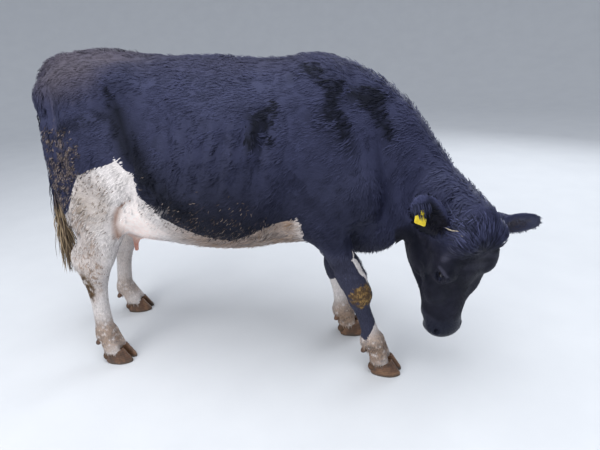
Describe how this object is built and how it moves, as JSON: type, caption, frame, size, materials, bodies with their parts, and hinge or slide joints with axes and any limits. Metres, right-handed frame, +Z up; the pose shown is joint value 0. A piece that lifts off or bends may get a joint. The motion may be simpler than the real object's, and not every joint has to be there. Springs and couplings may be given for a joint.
{
  "type": "cow model",
  "caption": "Life-size polled black and white dairy cow standing in stride with its head lowered and turned, a blank tag in one ear.",
  "frame": {"origin": "on the floor, under the middle of the animal's own box", "axes": "+X forward along the back, from tail to chest, +Y to the animal's left, +Z up"},
  "size_m": [2.2464, 0.7574, 1.4353],
  "materials": {
    "black_coat": "short glossy black hair with a blue cast",
    "white_coat": "short matt white hair, soiled tan low down",
    "udder_skin": "bare pink skin with fine down",
    "eye": "wet dark brown",
    "tag_plastic": "smooth moulded yellow",
    "horn": "ringed brown hoof horn"
  },
  "bodies": {
    "root": {"trunk": "black_coat", "neck": "black_coat", "head": "black_coat", "ear_right": "black_coat", "ear_left": "black_coat", "tail": "black_coat", "fore_leg_right_upper": "black_coat", "fore_leg_left_upper": "black_coat", "tail_switch": "white_coat", "hind_leg_right_upper": "white_coat", "hind_leg_left_upper": "white_coat", "hind_leg_right_lower": "white_coat", "hind_leg_left_lower": "white_coat", "fore_leg_right_lower": "white_coat", "fore_leg_left_lower": "white_coat", "udder": "udder_skin", "eye_right": "eye", "eye_left": "eye", "ear_tag_right": "tag_plastic", "claw_hind_right_inner": "horn", "claw_hind_right_outer": "horn", "claw_hind_left_inner": "horn", "claw_hind_left_outer": "horn", "claw_fore_right_inner": "horn", "claw_fore_right_outer": "horn", "claw_fore_left_inner": "horn", "claw_fore_left_outer": "horn", "dewclaw_hind_right_inner": "horn", "dewclaw_hind_right_outer": "horn", "dewclaw_hind_left_inner": "horn", "dewclaw_hind_left_outer": "horn", "dewclaw_fore_right_inner": "horn", "dewclaw_fore_right_outer": "horn", "dewclaw_fore_left_inner": "horn", "dewclaw_fore_left_outer": "horn"}
  },
  "joints": []
}
